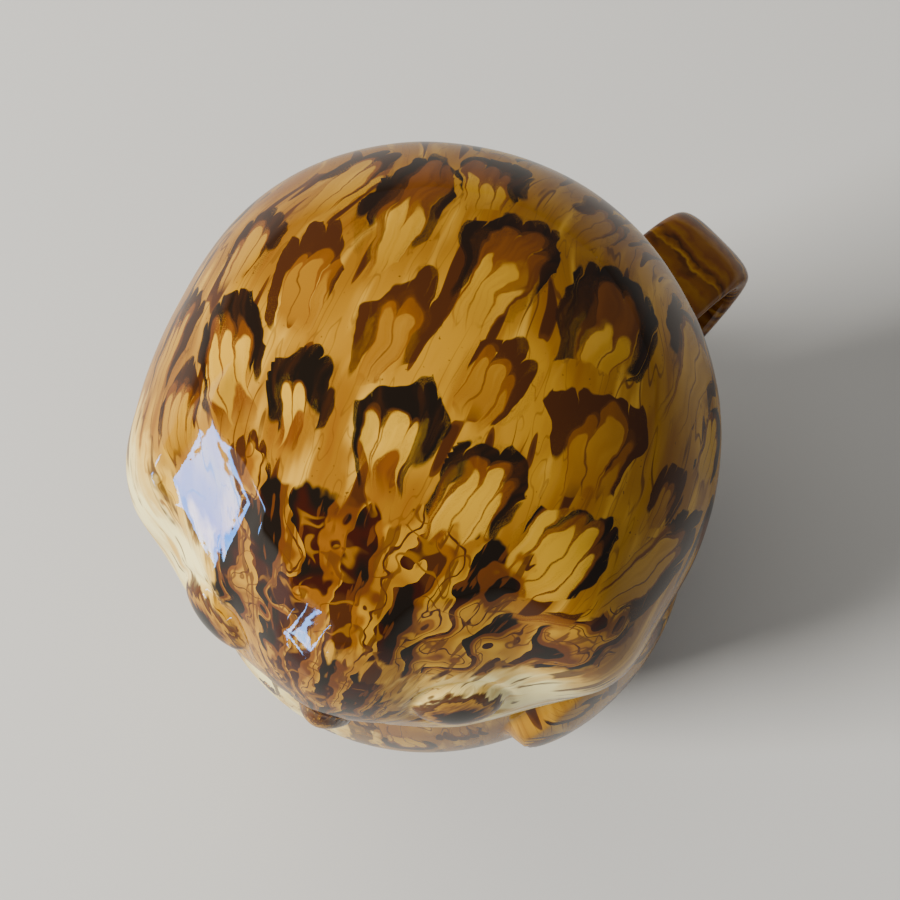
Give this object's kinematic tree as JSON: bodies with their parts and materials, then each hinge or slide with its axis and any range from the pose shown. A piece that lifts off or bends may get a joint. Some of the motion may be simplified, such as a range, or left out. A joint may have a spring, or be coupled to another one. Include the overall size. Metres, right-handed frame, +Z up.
{
  "type": "owl jug",
  "caption": "Glazed agateware owl jug: rounded hollow body with wings, toes, a collar and a strap handle, under a lift-off owl head that is a cup.",
  "frame": {"origin": "centre of the flat underside of the body", "axes": "+Z up along the jug's turned axis, -Y the way the breast faces, +Y towards the handle, +X the owl's left wing"},
  "size_m": [0.1156, 0.141, 0.2038],
  "materials": {
    "body_glaze": "marbled honey and dark brown clays under a glossy clear glaze",
    "head_glaze": "marbled honey, cream and dark brown clays under a glossy clear glaze"
  },
  "bodies": {
    "root": {"jug_body": "body_glaze", "head_cup": "head_glaze"}
  },
  "joints": []
}
